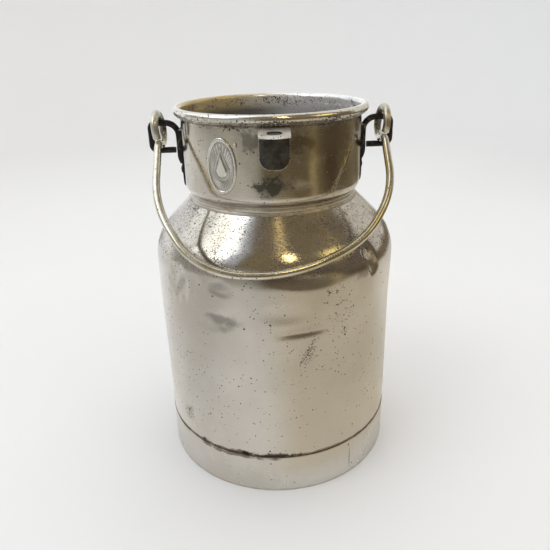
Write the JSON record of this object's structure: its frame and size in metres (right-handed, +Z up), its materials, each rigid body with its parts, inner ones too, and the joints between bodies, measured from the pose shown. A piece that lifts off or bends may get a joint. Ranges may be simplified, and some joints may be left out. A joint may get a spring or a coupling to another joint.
{
  "type": "milk can",
  "caption": "Round metal milk can with a conical breast, a wired straight neck, a foot hoop, a lock lug and a swinging rod bail.",
  "frame": {"origin": "on the floor, under the can's axis, at the centre of the foot hoop", "axes": "+Z up along the can's axis; the lock lug and the bail at rest face -Y; the bail's hooks are on the X axis"},
  "size_m": [0.2112, 0.2151, 0.3177],
  "materials": {
    "tinned_steel": "worn tinned steel, softly polished",
    "collar_steel": "polished tinned steel, stained and pitted",
    "hoop_steel": "worn tinned steel strip",
    "inner_steel": "dull tinned steel with dark spots",
    "solder": "dull solder with rust along its edge",
    "wire": "plain drawn wire",
    "lug_steel": "tarnished steel, bright on its worn edges",
    "badge_metal": "stamped white metal",
    "ear_iron": "blackened forged iron",
    "rivet_steel": "dark tinned rivet heads",
    "bail_rod": "plated rod with brassy wear"
  },
  "bodies": {
    "can": {"body_shell": "tinned_steel", "base_hoop": "hoop_steel", "hoop_seam": "solder", "bottom_plate": "inner_steel", "bottom_seam": "solder", "neck_collar": "collar_steel", "neck_seam": "solder", "rim_wire": "wire", "rim_seam": "collar_steel", "lock_lug": "lug_steel", "badge": "badge_metal", "badge_stud": "badge_metal", "ear_right": "ear_iron", "ear_left": "ear_iron", "ear_right_rivets": "rivet_steel", "ear_left_rivets": "rivet_steel"},
    "bail": {"bail": "bail_rod"}
  },
  "joints": [
    {"name": "bail_swing", "type": "hinge", "parent": "can", "child": "bail", "pos_m": [0, 0, 0.30357], "axis": [-1, 0, 0], "range_deg": [0, 263.7]}
  ]
}
